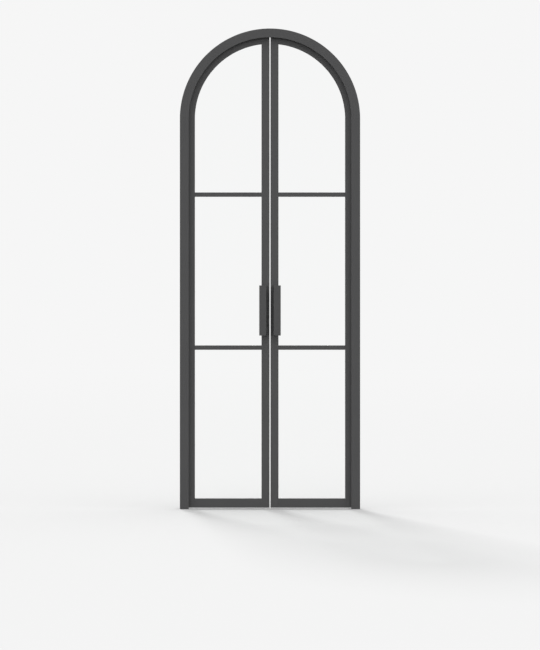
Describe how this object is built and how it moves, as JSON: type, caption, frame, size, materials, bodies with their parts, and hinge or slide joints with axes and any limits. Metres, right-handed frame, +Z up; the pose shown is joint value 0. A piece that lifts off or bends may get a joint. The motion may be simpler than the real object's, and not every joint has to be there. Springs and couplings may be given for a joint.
{
  "type": "arched steel double door",
  "caption": "Tall steel door set with a semicircular head: a rebated frame and two hinged glazed leaves with slim glazing bars and bent-plate pulls, closing a wall opening.",
  "frame": {"origin": "middle of the left jamb's foot, on the floor, at half the frame's depth", "axes": "+Z up, +X to the right jamb seen from the front, +Y from the front to the back, where the leaves open"},
  "size_m": [0.9144, 0.134, 2.4383],
  "materials": {
    "dark_grey_paint": "satin dark grey powder coat",
    "clear_glass": "clear float glass",
    "black_rubber": "matt black rubber"
  },
  "bodies": {
    "frame": {"left_jamb": "dark_grey_paint", "right_jamb": "dark_grey_paint", "arch_head": "dark_grey_paint", "left_seal": "black_rubber", "right_seal": "black_rubber", "arch_seal": "black_rubber", "left_frame_hinges": "dark_grey_paint", "right_frame_hinges": "dark_grey_paint"},
    "left_leaf": {"left_hanging_stile": "dark_grey_paint", "left_arched_rail": "dark_grey_paint", "left_meeting_stile": "dark_grey_paint", "left_bottom_rail": "dark_grey_paint", "left_lower_bar": "dark_grey_paint", "left_upper_bar": "dark_grey_paint", "left_lower_pane": "clear_glass", "left_middle_pane": "clear_glass", "left_upper_pane": "clear_glass", "left_lower_beads": "dark_grey_paint", "left_middle_beads": "dark_grey_paint", "left_upper_beads": "dark_grey_paint", "left_front_pull": "dark_grey_paint", "left_back_pull": "dark_grey_paint", "left_leaf_hinges": "dark_grey_paint"},
    "right_leaf": {"right_hanging_stile": "dark_grey_paint", "right_arched_rail": "dark_grey_paint", "right_meeting_stile": "dark_grey_paint", "right_bottom_rail": "dark_grey_paint", "right_lower_bar": "dark_grey_paint", "right_upper_bar": "dark_grey_paint", "right_lower_pane": "clear_glass", "right_middle_pane": "clear_glass", "right_upper_pane": "clear_glass", "right_lower_beads": "dark_grey_paint", "right_middle_beads": "dark_grey_paint", "right_upper_beads": "dark_grey_paint", "right_front_pull": "dark_grey_paint", "right_back_pull": "dark_grey_paint", "right_leaf_hinges": "dark_grey_paint"}
  },
  "joints": [
    {"name": "left_leaf_swing", "type": "hinge", "parent": "frame", "child": "left_leaf", "pos_m": [0.0175, 0.0395, 1.01], "axis": [0, 0, 1], "range_deg": [0, 110]},
    {"name": "right_leaf_swing", "type": "hinge", "parent": "frame", "child": "right_leaf", "pos_m": [0.8669, 0.0395, 1.01], "axis": [0, 0, -1], "range_deg": [0, 110]}
  ]
}
